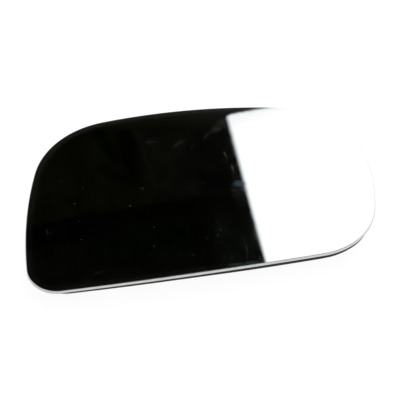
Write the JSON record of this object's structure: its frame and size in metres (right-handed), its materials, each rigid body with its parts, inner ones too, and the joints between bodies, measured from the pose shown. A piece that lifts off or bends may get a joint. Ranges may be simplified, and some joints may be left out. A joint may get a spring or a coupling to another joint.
{
  "type": "car door mirror glass",
  "caption": "Convex mirror glass with a ground edge, bonded by a foam pad to a domed plastic carrier that snaps on by a clip ring.",
  "frame": {"origin": "on the axis of the clip ring, in the plane of its mouth, which is the surface the part lies on; the middle of the outline", "axes": "+Z out of the mirror face, +X along the bottom edge towards the end with the large rounds, +Y from the bottom edge to the top"},
  "size_m": [0.1858, 0.1136, 0.0145],
  "materials": {
    "mirror_glass": "polished coated face with a ground edge",
    "foam_pad": "closed cell foam, sticky on both faces",
    "carrier": "fine moulded grain"
  },
  "bodies": {
    "root": {"mirror_glass": "mirror_glass", "adhesive_pad": "foam_pad", "backing_plate": "carrier"}
  },
  "joints": []
}
